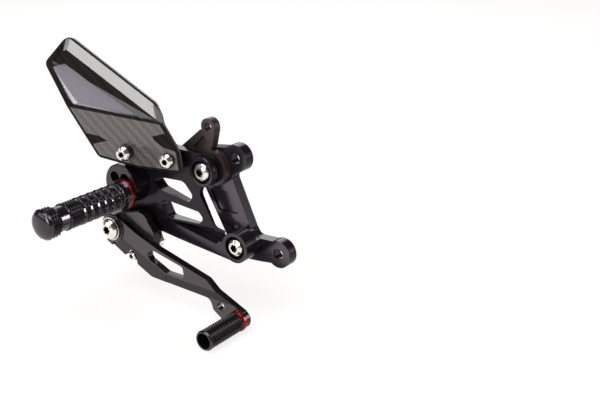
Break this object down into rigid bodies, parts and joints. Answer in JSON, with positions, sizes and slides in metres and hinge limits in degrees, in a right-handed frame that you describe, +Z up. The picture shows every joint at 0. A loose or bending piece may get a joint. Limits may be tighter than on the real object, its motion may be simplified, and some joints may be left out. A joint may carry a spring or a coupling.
{
  "type": "motorcycle rearset footrest assembly",
  "caption": "Adjustable motorcycle rearset with adapter plate, footrest carrier, knurled footpeg, carbon heel guard and pivoting brake pedal.",
  "frame": {"origin": "on the axis of the upper frame bolt, in the adapter plate's face that lies against the frame", "axes": "+X forward along the bike, +Y inboard towards the frame, +Z up"},
  "size_m": [0.176, 0.1207, 0.1867],
  "materials": {
    "black": "black anodised, satin gloss",
    "red": "red anodised, gloss",
    "steel": "stainless, bright",
    "carbon": "woven carbon sheet under clear lacquer",
    "bronze": "plain bronze bearing"
  },
  "bodies": {
    "root": {"adapter_plate": "black", "master_cylinder_bracket": "black", "bracket_screw": "steel", "carrier_spacer": "black", "footrest_carrier": "black", "carrier_bolt_upper": "steel", "carrier_bolt_lower": "steel", "heel_guard": "carbon", "guard_spacer_front": "black", "guard_spacer_rear": "black", "guard_collar_front": "black", "guard_collar_rear": "black", "guard_screw_front": "steel", "guard_screw_rear": "steel", "peg_bolt": "steel", "peg_washer": "steel", "peg_ring": "red", "footpeg": "black", "peg_end_cap": "black", "pivot_bolt": "steel", "pivot_washer": "steel", "pivot_thrust_washer": "bronze", "pedal_stop_screw": "steel"},
    "pedal": {"brake_pedal": "black", "pivot_bush_outer": "bronze", "pivot_bush_inner": "bronze", "pushrod_pin": "steel", "pushrod_nut": "steel", "toe_ring": "red", "toe_peg": "black", "toe_bolt": "steel"}
  },
  "joints": [
    {"name": "pedal_pivot", "type": "hinge", "parent": "root", "child": "pedal", "pos_m": [-0.0897, -0.0358, -0.062], "axis": [0, -1, 0], "range_deg": [0, 10]}
  ]
}
